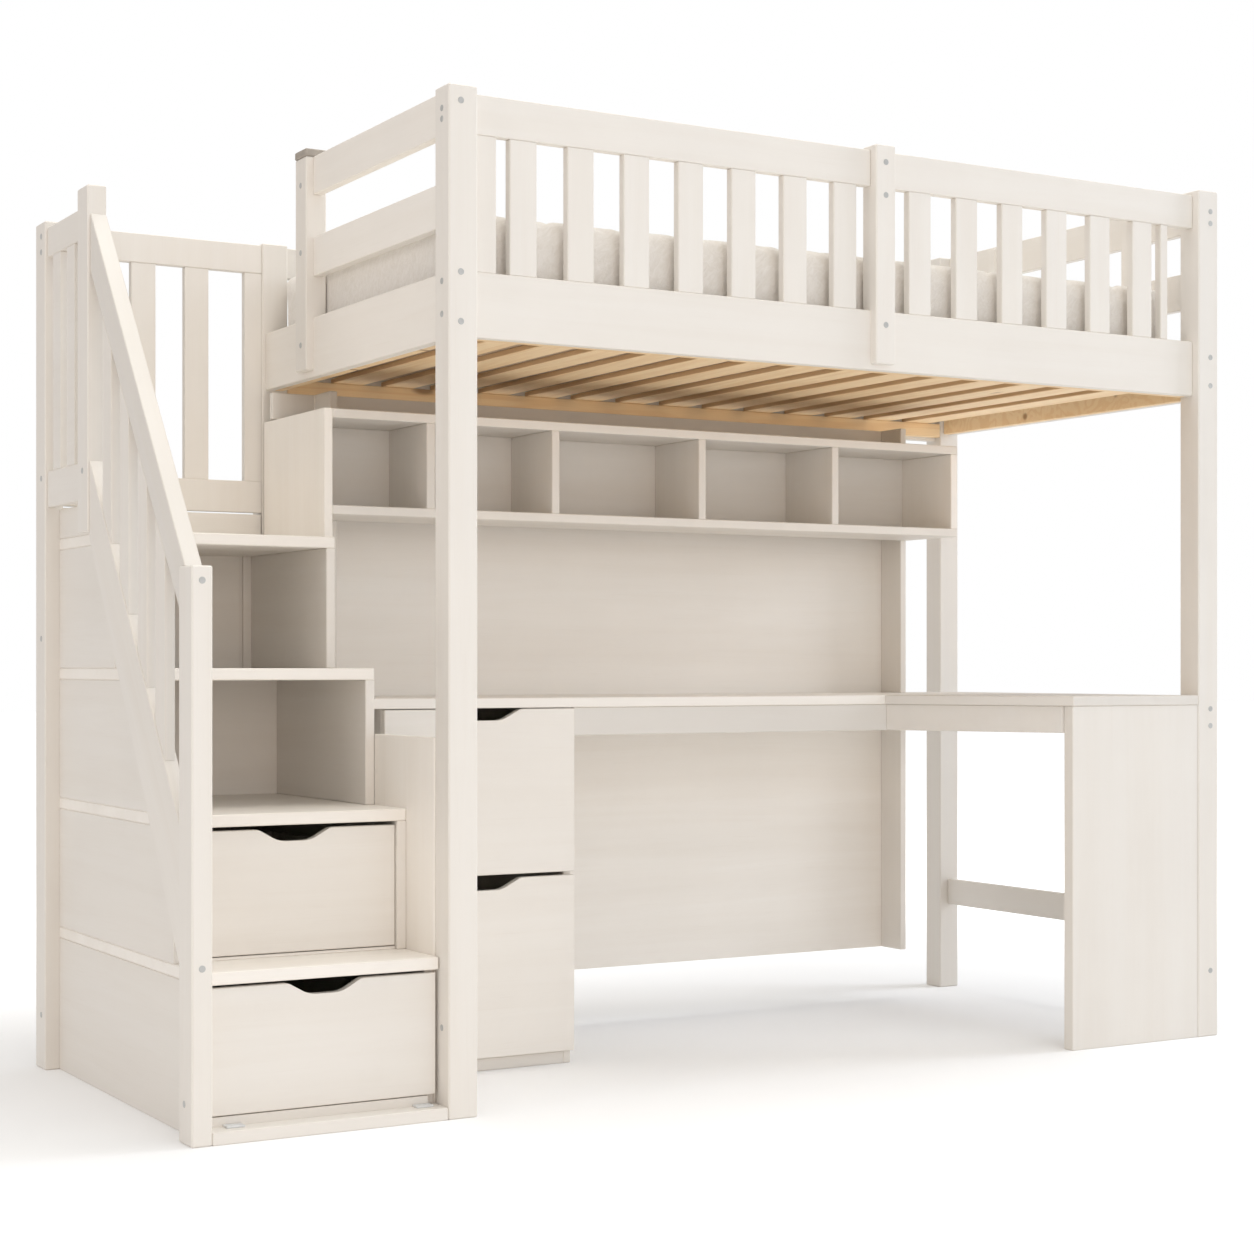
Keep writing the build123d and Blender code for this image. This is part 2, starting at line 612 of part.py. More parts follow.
def stair_sides():
    """Left and right side panels of the four boxes."""
    made = []
    back_post = STAIR_DEPTH - STAIR_POST[1]
    left_fronts = (STAIR_POST[1],) + TREAD_FRONTS[1:]
    right_fronts = (LOW_DRAWER_Y + FRONT + 1,) + TREAD_FRONTS[1:]
    for z, left, right in zip(box_levels(), left_fronts, right_fronts):
        made.append(board(STAIR_SIDE_X, (left, back_post), z))
        made.append(board((STAIR_INNER_X[1], STAIR_RIGHT), (right, STAIR_DEPTH - 2), z))
    return made


def stair_backs():
    """Backs of the boxes, and the narrow board between the landing and its back guard."""
    levels = box_levels()
    levels[0] = (BASE_BOARD, levels[0][1])
    rear = STAIR_DEPTH - 2 - STAIR_BACK
    guard_x = (STAIR_LEFT + STAIR_POST[0], STAIR_RIGHT)
    made = []
    for y, z in zip((rear, rear) + CUBBY_BACKS, levels):
        x = guard_x if y == rear else STAIR_INNER_X
        made.append(board((x[0], STAIR_INNER_X[1]), (y, y + STAIR_BACK), z, FINE_EASE))
    middle, width, depth = BACK_GROOVE
    groove_x = (middle - width / 2, middle + width / 2)
    groove_y = (CUBBY_BACKS[1] - 1, CUBBY_BACKS[1] + depth)
    made[-1] = made[-1] - block(groove_x, groove_y, TREAD_TOPS[2:])
    made.append(board(guard_x, LANDING_BACK_Y, (TREAD_TOPS[3], LANDING_BACK_LOW_Z[0] - LANDING_GAP)))
    return made


def stair_base():
    """The floor of the lowest box, a wider strip in front of the drawer and a sill under its front."""
    inner = block(STAIR_INNER_X, (BASE_STRIP_DEPTH - 1, STAIR_DEPTH - 2), (0, BASE_BOARD))
    strip_x = (STAIR_LEFT + STAIR_POST[0], STAIR_RIGHT + 1)
    strip = board(strip_x, (0, BASE_STRIP_DEPTH), (0, BASE_BOARD))
    sill_x = (strip_x[0], STAIR_INNER_X[1])
    sill_y = (LOW_DRAWER_Y + SILL_SET_BACK, LOW_DRAWER_Y + SILL_SET_BACK + SILL_DEPTH)
    sill = block(sill_x, sill_y, (BASE_BOARD - 1, LOW_DRAWER_Z[0] - SIDE_GAP))
    return strip + inner + sill


def base_pads():
    """Two low glide pads on the strip in front of the lowest drawer."""
    z = (BASE_BOARD, BASE_BOARD + PAD[2])
    return [board((x, x + PAD[0]), (LOW_DRAWER_Y - PAD[1], LOW_DRAWER_Y), z, 1) for x in PAD_X]


def rail_line(y, height):
    """Height of a line parallel to the handrail, given its height at the landing post."""
    return height + RAIL_SLOPE * (y - LANDING_POST_Y[0])


def handrail():
    """A sloping board from the front stair post's top to the landing post."""
    top_y = LANDING_POST_Y[0]
    post_back = STAIR_POST[1]
    under = HANDRAIL_TOP - HANDRAIL_DEPTH
    toe = top_y - (HANDRAIL_TOP - FRONT_STAIR_POST_TOP) / RAIL_SLOPE
    outline = [(toe, FRONT_STAIR_POST_TOP), (post_back, FRONT_STAIR_POST_TOP),
               (post_back, rail_line(post_back, under)), (top_y, under), (top_y, HANDRAIL_TOP)]
    return side_shape(outline, HANDRAIL_X)


def stringer():
    """A board beside the steps that carries the balusters' feet."""
    low = STAIR_POST[1]
    high = LANDING_POST_Y[0]
    outline = [(low, STRINGER_FEET[0]), (high, STRINGER_FEET[1]),
               (high, stringer_top(high)), (low, stringer_top(low))]
    return side_shape(outline, STRINGER_X)


def stringer_top(y):
    return rail_line(y, STRINGER_TOP)


def balusters():
    made = []
    under = HANDRAIL_TOP - HANDRAIL_DEPTH
    for front in BALUSTER_FRONTS:
        back = front + BALUSTER_WIDTH
        outline = [(front, stringer_top(front)), (back, stringer_top(back)),
                   (back, rail_line(back, under)), (front, rail_line(front, under))]
        made.append(side_shape(outline, BALUSTER_X, 1))
    return made


def landing_side_guard():
    """Two boards and two slats between the landing post and the back post, over a low board."""
    y = (LANDING_POST_Y[1], STAIR_DEPTH - STAIR_POST[1])
    made = [board(LANDING_SIDE_X, y, LANDING_TOP_BOARD_Z), board(LANDING_SIDE_X, y, LANDING_LOW_BOARD_Z)]
    made.append(board(STAIR_SIDE_X, y, (TREAD_TOPS[3], LANDING_LOW_BOARD_Z[0] - LANDING_GAP)))
    z = (LANDING_LOW_BOARD_Z[1], LANDING_TOP_BOARD_Z[0])
    x = (LANDING_SIDE_X[0] + 1, LANDING_SIDE_X[1] - 1)
    for front in LANDING_SIDE_SLATS:
        made.append(board(x, (front, front + LANDING_SLAT), z, 1))
    return made


def landing_back_guard():
    """Two boards and four slats between the back stair post and the bed."""
    x = (STAIR_LEFT + STAIR_POST[0], 0)
    y = LANDING_BACK_Y
    made = [board(x, y, LANDING_BACK_TOP_Z), board(x, y, LANDING_BACK_LOW_Z)]
    z = (LANDING_BACK_LOW_Z[1], LANDING_BACK_TOP_Z[0])
    for left, width in LANDING_BACK_SLATS:
        made.append(board((left, left + width), (y[0] + 1, y[1] - 1), z, 1))
    return made


def step_screen():
    """The panel beside the two lowest steps, behind the front bed post."""
    return board(SCREEN_X, SCREEN_Y, (0, SCREEN_TOP))


# ------------------------------------------------------------------ output
def nodes():
    right = BED_LENGTH - POST
    back = BED_DEPTH - POST
    made = {
        "bed_post_front_left": [post(0, 0, POST_TOP)],
        "bed_post_front_right": [post(right, 0, POST_TOP)],
        "bed_post_back_left": [post(0, back, BACK_LEFT_POST_TOP)],
        "bed_post_back_right": [post(right, back, BACK_RIGHT_POST_TOP)],
        "guard_post_front_middle": [middle_post()],
        "entry_post": [entry_post()],
        "entry_post_cap": [entry_post_cap()],
        "side_rail_front": [long_board(SIDE_RAIL_Z)],
        "side_rail_back": [long_board(BACK_RAIL_Z, back=True)],
        "end_board_left": [end_board(END_BOARD_Z)],
        "end_board_right": [end_board(END_BOARD_Z, right=True)],
        "guard_rail_front": [long_board(GUARD_TOP_Z, x=(POST, MIDDLE_POST_X[0])),
                             long_board(GUARD_TOP_Z, x=(MIDDLE_POST_X[1], BED_LENGTH - POST))],
        "guard_slats_front": front_guard_slats(),
        "guard_rail_back": [long_board(BACK_GUARD_Z, back=True)],
        "guard_slats_back": back_guard_slats(),
        "guard_boards_left": [end_board(END_TOP_Z, y=(POST, ENTRY_POST_Y[0])),
                              end_board(END_MID_Z, y=(POST, ENTRY_POST_Y[0]))],
        "guard_boards_right": right_guard(),
        "slat_cleats": cleats(),
        "bed_slats": bed_slats(),
        "mattress": [mattress()],
        "frame_bolts": bolts(),
        "bolt_caps": bolt_caps(),
        "shelf_top_board": [shelf_top()],
        "shelf_bottom_board": [shelf_bottom()],
        "shelf_side_panels": shelf_sides(),
        "shelf_dividers": shelf_dividers(),
        "shelf_back_panel": [shelf_back()],
        "desk_top_main": [desk_main_top()],
        "desk_top_wing": [desk_wing_top()],
        "desk_aprons": desk_aprons(),
        "desk_leg_panel": [desk_leg_panel()],
        "side_stretcher": [side_stretcher()],
        "wall_panel": [wall_panel()],
        "wall_uprights": uprights(),
        "cabinet_side_panels": cabinet_sides(),
        "cabinet_base": cabinet_base(),
        "cabinet_back_panel": [cabinet_back()],
        "stair_post_front": [stair_post((0, STAIR_POST[1]), FRONT_STAIR_POST_TOP)],
        "stair_post_back": [stair_post((STAIR_DEPTH - STAIR_POST[1], STAIR_DEPTH), BACK_STAIR_POST_TOP)],
        "landing_post": [stair_post(LANDING_POST_Y, LANDING_POST_TOP, TREAD_TOPS[3])],
        "stair_treads": treads(),
        "stair_side_panels": stair_sides(),
        "stair_back_panels": stair_backs(),
        "stair_base_board": [stair_base()],
        "base_glide_pads": base_pads(),
        "handrail": [handrail()],
        "handrail_balusters": balusters(),
        "stair_stringer": [stringer()],
        "landing_side_guard": landing_side_guard(),
        "landing_back_guard": landing_back_guard(),
        "step_screen_panel": [step_screen()],
    }
    runners = []
    for name, (front, tray, pair) in drawers().items():
        made[name + "_front"] = [front]
        made[name + "_tray"] = tray
        runners += pair
    made["drawer_runners"] = runners
    return made


def main():
    os.makedirs("parts", exist_ok=True)
    shift = Pos(-ORIGIN[0], -ORIGIN[1], -ORIGIN[2])
    for name, pieces in nodes().items():
        solids = [solid for piece in pieces for solid in (shift * piece).solids()]
        shape = Compound(children=solids) if len(solids) > 1 else solids[0]
        export_step(shape, f"parts/{name}.step")
    print("wrote the parts")


main()
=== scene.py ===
"""Looks of the loft bed: materials, mattress, floor, lights and camera."""
import bpy
import bmesh
import math
import numpy as np
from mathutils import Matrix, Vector, noise


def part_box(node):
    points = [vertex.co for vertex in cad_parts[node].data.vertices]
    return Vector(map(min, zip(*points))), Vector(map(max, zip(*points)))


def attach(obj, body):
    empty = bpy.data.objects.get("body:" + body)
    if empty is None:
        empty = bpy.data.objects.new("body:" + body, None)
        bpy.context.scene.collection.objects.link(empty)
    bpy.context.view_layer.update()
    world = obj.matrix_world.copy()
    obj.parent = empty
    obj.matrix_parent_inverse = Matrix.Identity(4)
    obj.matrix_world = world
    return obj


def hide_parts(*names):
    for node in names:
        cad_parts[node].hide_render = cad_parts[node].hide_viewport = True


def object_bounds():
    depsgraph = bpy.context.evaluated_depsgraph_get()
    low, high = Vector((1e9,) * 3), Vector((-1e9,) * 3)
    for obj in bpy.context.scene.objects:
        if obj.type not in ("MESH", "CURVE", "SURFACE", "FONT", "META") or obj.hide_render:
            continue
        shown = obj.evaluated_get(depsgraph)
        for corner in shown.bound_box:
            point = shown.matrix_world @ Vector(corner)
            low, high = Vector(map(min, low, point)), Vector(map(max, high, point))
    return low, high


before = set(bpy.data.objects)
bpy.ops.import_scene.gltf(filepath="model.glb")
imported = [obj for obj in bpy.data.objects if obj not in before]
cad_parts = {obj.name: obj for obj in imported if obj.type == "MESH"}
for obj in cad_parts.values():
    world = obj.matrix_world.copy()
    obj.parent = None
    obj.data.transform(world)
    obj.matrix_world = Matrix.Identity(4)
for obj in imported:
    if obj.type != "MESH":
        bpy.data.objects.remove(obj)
cad_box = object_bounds()
scene = bpy.context.scene
BODY = "frame"


# ------------------------------------------------------------------ node trees
class Tree:
    """Short calls for building one material."""

    def __init__(self, name):
        self.mat = bpy.data.materials.new(name)
        self.mat.use_nodes = True
        self.tree = self.mat.node_tree
        self.tree.nodes.clear()
        out = self.add("ShaderNodeOutputMaterial")
        self.shader = self.add("ShaderNodeBsdfPrincipled")
        self.tree.links.new(self.shader.outputs[0], out.inputs[0])

    def add(self, kind, **settings):
        node = self.tree.nodes.new(kind)
        for key, value in settings.items():
            setattr(node, key, value)
        return node

    def put(self, socket, value):
        """Links a socket, or sets the constant it holds."""
        if isinstance(value, bpy.types.NodeSocket):
            self.tree.links.new(value, socket)
        else:
            socket.default_value = value

    def shape(self, **values):
        """Sets the shader's own sockets; an underscore stands for a space."""
        for key, value in values.items():
            self.put(self.shader.inputs[key.replace("_", " ")], value)

    def coords(self, scale, turn=(0, 0, 0)):
        """Object coordinates, turned and scaled."""
        spot = self.add("ShaderNodeTexCoord").outputs["Object"]
        mapping = self.add("ShaderNodeMapping", vector_type="TEXTURE")
        self.put(mapping.inputs["Vector"], spot)
        self.put(mapping.inputs["Rotation"], turn)
        spread = self.add("ShaderNodeVectorMath", operation="MULTIPLY")
        self.put(spread.inputs[0], mapping.outputs[0])
        self.put(spread.inputs[1], scale)
        return spread.outputs[0]

    def noise(self, vector, scale=1.0, detail=3.0, rough=0.5, warp=0.0):
        node = self.add("ShaderNodeTexNoise")
        self.put(node.inputs["Vector"], vector)
        self.put(node.inputs["Scale"], scale)
        self.put(node.inputs["Detail"], detail)
        self.put(node.inputs["Roughness"], rough)
        self.put(node.inputs["Distortion"], warp)
        return node.outputs["Fac"]

    def math(self, kind, a, b=0.0, c=0.0):
        node = self.add("ShaderNodeMath", operation=kind)
        self.put(node.inputs[0], a)
        self.put(node.inputs[1], b)
        self.put(node.inputs[2], c)
        return node.outputs[0]

    def span(self, value, low, high, to_low=0.0, to_high=1.0):
        """Maps low..high to to_low..to_high, easing in and out."""
        node = self.add("ShaderNodeMapRange", interpolation_type="SMOOTHSTEP")
        for index, item in enumerate((value, low, high, to_low, to_high)):
            self.put(node.inputs[index], item)
        return node.outputs[0]

    def mix(self, factor, a, b):
        node = self.add("ShaderNodeMix", data_type="RGBA", blend_type="MIX")
        self.put(node.inputs[0], factor)
        self.put(node.inputs[6], a)
        self.put(node.inputs[7], b)
        return node.outputs[2]

    def bump(self, height, strength, distance, under=None):
        node = self.add("ShaderNodeBump")
        self.put(node.inputs["Height"], height)
        self.put(node.inputs["Strength"], strength)
        self.put(node.inputs["Distance"], distance)
        if under is not None:
            self.put(node.inputs["Normal"], under)
        return node.outputs[0]

    def edges(self, radius, low=0.004, high=0.10):
        """1 along sharp edges, 0 on flat faces."""
        bevel = self.add("ShaderNodeBevel", samples=4)
        self.put(bevel.inputs["Radius"], radius)
        dot = self.add("ShaderNodeVectorMath", operation="DOT_PRODUCT")
        self.put(dot.inputs[0], bevel.outputs[0])
        self.put(dot.inputs[1], self.add("ShaderNodeNewGeometry").outputs["Normal"])
        return self.span(self.math("SUBTRACT", 1.0, dot.outputs["Value"]), low, high)


def rgb(red, green, blue):
    return (red, green, blue, 1.0)


# ------------------------------------------------------------------ materials
# colours are linear red, green and blue
PAINT = {
    "light": (0.805, 0.765, 0.710), "deep": (0.785, 0.740, 0.680), "cloudy": (0.83, 0.79, 0.73),
    "grain": (0.66, 0.585, 0.49), "board": (0.75, 0.69, 0.61), "worn": (0.63, 0.54, 0.435),
}
PAINT_WEAR = 0.0022             # metres that the wear reaches in from an edge
PINE = {
    "pale": (0.97, 0.75, 0.48), "warm": (0.87, 0.60, 0.33), "streak": (0.90, 0.66, 0.40),
    "fibre": (0.68, 0.45, 0.24), "side_shade": (0.60, 0.385, 0.20), "knot": (0.27, 0.13, 0.055),
    "worn": (0.50, 0.315, 0.15),
}
PINE_WEAR = 0.002
PLASTIC_WEAR = 0.0008
PLUSH = {
    "deep": (0.775, 0.73, 0.67), "light": (0.835, 0.795, 0.745), "crushed": (0.865, 0.83, 0.785),
    "pile": (0.71, 0.66, 0.60), "underside_shade_deep": (0.42, 0.27, 0.14), "underside_shade_light": (0.50, 0.33, 0.18),
}
FLOOR = {"light": (0.93, 0.93, 0.93), "deep": (0.915, 0.915, 0.912)}
GLOW = 0.6                      # how bright the floor looks well away from the object
GLOW_UNDER = 0.05
GLOW_FROM = (0.1, 3.0)          # metres outside the object's footprint


def along(axis, far, near):
    """Scale of a pattern stretched along one axis."""
    return tuple(far if a == axis else near for a in "XYZ")


def painted_wood(name, axis, turn=(0, 0, 0), tone=1.0):
    """Satin cream paint over wood: the grain shows faintly through it along axis."""
    t = Tree(name)
    # tone makes the paint lighter or darker on each node as painted light and shade
    light, deep, cloudy = (rgb(*[part * tone for part in PAINT[key]]) for key in ("light", "deep", "cloudy"))
    broad = t.noise(t.coords(along(axis, 1.3, 26), turn), 1.0, 4, 0.55, 0.6)
    fine = t.noise(t.coords(along(axis, 9, 420), turn), 1.0, 3, 0.6, 0.3)
    pores = t.noise(t.coords(along(axis, 26, 900), turn), 1.0, 2, 0.5)
    cloud = t.noise(t.coords((5, 5, 5)), 1.0, 4, 0.6)
    roll = t.noise(t.coords((210, 210, 210)), 1.0, 3, 0.55)
    colour = t.mix(t.span(broad, 0.30, 0.72), light, deep)
    colour = t.mix(t.span(cloud, 0.35, 0.70, 0.0, 0.35), colour, cloudy)
    lines = t.span(fine, 0.56, 0.74, 0.0, 0.09)
    colour = t.mix(lines, colour, rgb(*PAINT["grain"]))
    board = t.noise(t.coords(along(axis, 0.3, 9), turn), 1.0, 1, 0.4)
    colour = t.mix(t.span(board, 0.40, 0.60, 0.0, 0.14), colour, rgb(*PAINT["board"]))
    worn = t.math("MULTIPLY", t.edges(PAINT_WEAR), t.span(cloud, 0.30, 0.65, 0.25, 0.85))
    colour = t.mix(t.math("MULTIPLY", worn, 0.42), colour, rgb(*PAINT["worn"]))
    rough = t.math("ADD", t.span(cloud, 0.3, 0.7, 0.40, 0.50), t.span(fine, 0.4, 0.8, 0.0, 0.07))
    rough = t.math("ADD", rough, t.math("MULTIPLY", worn, 0.10))
    normal = t.bump(roll, 0.10, 0.0006)
    normal = t.bump(fine, 0.22, 0.0005, normal)
    normal = t.bump(pores, 0.10, 0.0003, normal)
    t.shape(Base_Color=colour, Roughness=rough, Normal=normal, Specular_IOR_Level=0.45)
    return t.mat


def pine(name, axis, dark=0.0, shaded_sides=False):
    """Bare pine: growth rings stretched along the board, a few knots, fine fibres, and painted shade on the
    sides that face along X.
    """
    t = Tree(name)
    pale, warm, streak = (rgb(*[part - dark for part in PINE[key]]) for key in ("pale", "warm", "streak"))
    rings = t.coords(along(axis, 1.1, 15))
    sway = t.noise(rings, 0.8, 3, 0.5, 0.5)
    wave = t.math("SINE", t.math("MULTIPLY", sway, 46.0))
    ring = t.span(wave, -0.5, 1.0)
    fibre = t.noise(t.coords(along(axis, 14, 620)), 1.0, 3, 0.6)
    tone = t.noise(t.coords(along(axis, 1.0, 6)), 1.0, 3, 0.5)
    knots = t.add("ShaderNodeTexVoronoi", feature="F1")
    t.put(knots.inputs["Vector"], t.coords(along(axis, 2.6, 9)))
    t.put(knots.inputs["Scale"], 1.0)
    knot = t.span(knots.outputs["Distance"], 0.03, 0.11, 1.0, 0.0)
    colour = t.mix(t.math("MULTIPLY", ring, 0.55), pale, warm)
    colour = t.mix(t.span(tone, 0.35, 0.7, 0.0, 0.45), colour, streak)
    colour = t.mix(t.span(fibre, 0.45, 0.75, 0.0, 0.22), colour, rgb(*PINE["fibre"]))
    # painted shade: faces turned along X are darkened as if they lay in shadow
    if shaded_sides:
        facing = t.add("ShaderNodeSeparateXYZ")
        t.put(facing.inputs[0], t.add("ShaderNodeTexCoord").outputs["Normal"])
        side = t.span(t.math("ABSOLUTE", facing.outputs["X"]), 0.75, 0.95, 0.0, 0.8)
        colour = t.mix(side, colour, rgb(*PINE["side_shade"]))
    colour = t.mix(t.math("MULTIPLY", knot, 0.75), colour, rgb(*PINE["knot"]))
    worn = t.edges(PINE_WEAR)
    colour = t.mix(t.math("MULTIPLY", worn, 0.30), colour, rgb(*PINE["worn"]))
    rough = t.math("ADD", t.span(fibre, 0.3, 0.8, 0.50, 0.66), t.math("MULTIPLY", ring, -0.05))
    normal = t.bump(ring, 0.18, 0.0004)
    normal = t.bump(fibre, 0.30, 0.0004, normal)
    t.shape(Base_Color=colour, Roughness=rough, Normal=normal, Specular_IOR_Level=0.35)
    return t.mat


def plastic(name, colour, deep, rough):
    """Moulded plastic with a fine spark-eroded surface."""
    t = Tree(name)
    grain = t.noise(t.coords((900, 900, 900)), 1.0, 3, 0.6)
    cloud = t.noise(t.coords((60, 60, 60)), 1.0, 3, 0.5)
    tint = t.mix(t.span(cloud, 0.3, 0.7), rgb(*colour), rgb(*deep))
    worn = t.edges(PLASTIC_WEAR, 0.01, 0.2)
    tint = t.mix(t.math("MULTIPLY", worn, 0.35), tint, rgb(*[min(1.0, c * 1.25) for c in colour]))
    roughness = t.span(grain, 0.3, 0.7, rough - 0.05, rough + 0.08)
    t.shape(Base_Color=tint, Roughness=roughness, Normal=t.bump(grain, 0.2, 0.0002))
    return t.mat


def steel(name):
    """Zinc-plated steel, brushed round the bolts."""
    t = Tree(name)
    brushed = t.noise(t.coords((60, 900, 900)), 1.0, 3, 0.6)
    cloud = t.noise(t.coords((90, 90, 90)), 1.0, 3, 0.6)
    colour = t.mix(t.span(cloud, 0.3, 0.7), rgb(0.62, 0.62, 0.62), rgb(0.50, 0.50, 0.49))
    rough = t.span(brushed, 0.3, 0.7, 0.26, 0.42)
    t.shape(Base_Color=colour, Metallic=1.0, Roughness=rough, Normal=t.bump(brushed, 0.15, 0.0002))
    return t.mat


def plush(name):
    """Off-white short plush: crushed pile that lies this way and that, with painted shade in dark brown on
    its underside.
    """
    t = Tree(name)
    warp = t.noise(t.coords((9, 9, 9)), 1.0, 3, 0.55)
    turn = t.coords((75, 150, 46), (0.5, 0.3, 0.6))
    bent = t.add("ShaderNodeVectorMath", operation="MULTIPLY_ADD")
    t.put(bent.inputs[0], warp)
    t.put(bent.inputs[1], (9.0, 9.0, 9.0))
    t.put(bent.inputs[2], turn)
    wisps = t.noise(bent.outputs[0], 1.0, 4, 0.62, 0.9)
    pile = t.noise(t.coords((820, 820, 820)), 1.0, 3, 0.7)
    crush = t.noise(t.coords((24, 24, 24)), 1.0, 4, 0.6, 0.5)
    colour = t.mix(t.span(wisps, 0.36, 0.66), rgb(*PLUSH["deep"]), rgb(*PLUSH["light"]))
    colour = t.mix(t.span(crush, 0.38, 0.68, 0.0, 0.25), colour, rgb(*PLUSH["crushed"]))
    colour = t.mix(t.span(pile, 0.52, 0.75, 0.0, 0.22), colour, rgb(*PLUSH["pile"]))
    facing = t.add("ShaderNodeSeparateXYZ")
    t.put(facing.inputs[0], t.add("ShaderNodeTexCoord").outputs["Normal"])
    # painted shade: faces that turn downwards get a dark brown colour as if they lay in shadow
    under = t.span(facing.outputs["Z"], -0.92, -0.80, 1.0, 0.0)
    painted_underside_shade = t.mix(t.span(pile, 0.4, 0.6), rgb(*PLUSH["underside_shade_deep"]), rgb(*PLUSH["underside_shade_light"]))
    colour = t.mix(under, colour, painted_underside_shade)
    normal = t.bump(crush, 0.30, 0.004)
    normal = t.bump(wisps, 0.50, 0.0026, normal)
    normal = t.bump(pile, 0.5, 0.0012, normal)
    t.shape(Base_Color=colour, Roughness=t.span(pile, 0.3, 0.7, 0.86, 0.97), Normal=normal)
    t.shape(Sheen_Weight=0.35, Sheen_Roughness=0.5, Specular_IOR_Level=0.2)
    t.shape(Sheen_Tint=rgb(1.0, 0.98, 0.95))
    return t.mat


def floor_paint(name, half_x, half_y):
    """A white studio floor that looks brighter away from the object, as a lit sweep does."""
    t = Tree(name)
    place = t.add("ShaderNodeSeparateXYZ")
    t.put(place.inputs[0], t.coords((1, 1, 1)))
    off_x = t.math("MAXIMUM", t.math("SUBTRACT", t.math("ABSOLUTE", place.outputs[0]), half_x), 0.0)
    off_y = t.math("MAXIMUM", t.math("SUBTRACT", t.math("ABSOLUTE", place.outputs[1]), half_y), 0.0)
    squares = t.math("ADD", t.math("MULTIPLY", off_x, off_x), t.math("MULTIPLY", off_y, off_y))
    away = t.math("SQRT", squares)
    seen = t.add("ShaderNodeLightPath").outputs["Is Camera Ray"]
    glow = t.math("MULTIPLY", t.span(away, *GLOW_FROM, GLOW_UNDER, GLOW), seen)
    t.shape(Emission_Strength=glow, Emission_Color=rgb(1, 1, 1))
    cloud = t.noise(t.coords((1.5, 1.5, 1.5)), 1.0, 4, 0.5)
    grain = t.noise(t.coords((300, 300, 300)), 1.0, 2, 0.5)
    colour = t.mix(t.span(cloud, 0.3, 0.7), rgb(*FLOOR["light"]), rgb(*FLOOR["deep"]))
    t.shape(Base_Color=colour, Roughness=t.span(grain, 0.3, 0.7, 0.60, 0.68), Specular_IOR_Level=0.15)
    return t.mat


ALONG_X = ["side_rail_", "guard_rail_", "shelf_top_board", "shelf_bottom_board", "shelf_back_panel",
           "desk_top_main", "desk_aprons", "wall_panel", "stair_base_board", "cabinet_base",
           "desk_drawer_", "stair_drawer_", "stair_back_panels", "stair_treads"]
ALONG_Y = ["end_board_", "guard_boards_", "side_stretcher", "desk_top_wing", "stair_side_panels",
           "landing_side_guard"]
SLOPED = ["handrail", "stair_stringer"]
RAIL_SLOPE = 1.3                # the handrail's rise over its run
# colour, deeper colour and roughness
PLASTICS = {
    "bolt_caps": ("cap_plastic", (0.50, 0.50, 0.49), (0.42, 0.42, 0.41), 0.48),
    "entry_post_cap": ("taupe_cap", (0.40, 0.355, 0.305), (0.35, 0.31, 0.265), 0.55),
    "base_glide_pads": ("glide_plastic", (0.72, 0.73, 0.73), (0.66, 0.67, 0.67), 0.5),
}
# painted light and shade: the paint's tone on each of these nodes, lighter on nodes that should look more
# lit and darker on nodes that should look more shaded
PAINTED_LIGHT_TONES = {
    "wall_panel": 1.14, "step_screen_panel": 1.15, "shelf_side_panels": 1.14, "desk_top_main": 1.12,
    "stair_treads": 1.12, "end_board_left": 1.10, "guard_boards_left": 1.09,
    "desk_drawer_upper_front": 1.05, "desk_drawer_lower_front": 1.06, "stair_drawer_upper_front": 1.02,
    "bed_post_back_right": 0.92, "bed_post_front_right": 0.95, "handrail": 0.92, "desk_aprons": 0.89,
    "desk_top_wing": 0.88, "side_stretcher": 0.96, "shelf_dividers": 0.96, "shelf_back_panel": 0.95,
    "desk_leg_panel": 0.96,
}


def node_materials():
    """Gives every CAD node its finish, with the grain along its boards."""
    slope = math.atan(RAIL_SLOPE)
    paint = {}
    special = {
        "slat_cleats": pine("pine_x", "X", 0.03),
        # the slats' sides get painted shade
        "bed_slats": pine("pine_y", "Y", shaded_sides=True),
        "drawer_runners": pine("pine_runner", "Y", 0.02),
        "frame_bolts": steel("zinc_steel"),
    }
    special.update({name: plastic(*look) for name, look in PLASTICS.items()})
    for name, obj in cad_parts.items():
        finish = special.get(name)
        if finish is None:
            axis = "Z"
            if name in SLOPED:
                axis = "S"
            elif any(name.startswith(start) for start in ALONG_X):
                axis = "X"
            elif any(name.startswith(start) for start in ALONG_Y):
                axis = "Y"
            # painted light and shade: each node's paint is made lighter or darker by its tone
            tone = PAINTED_LIGHT_TONES.get(name, 1.0)
            key = f"cream_paint_{axis.lower()}_{round(tone * 100)}"
            if key not in paint:
                turn = (slope, 0, 0) if axis == "S" else (0, 0, 0)
                paint[key] = painted_wood(key, "Y" if axis == "S" else axis, turn, tone)
            finish = paint[key]
        for held in obj.material_slots:
            held.material = finish


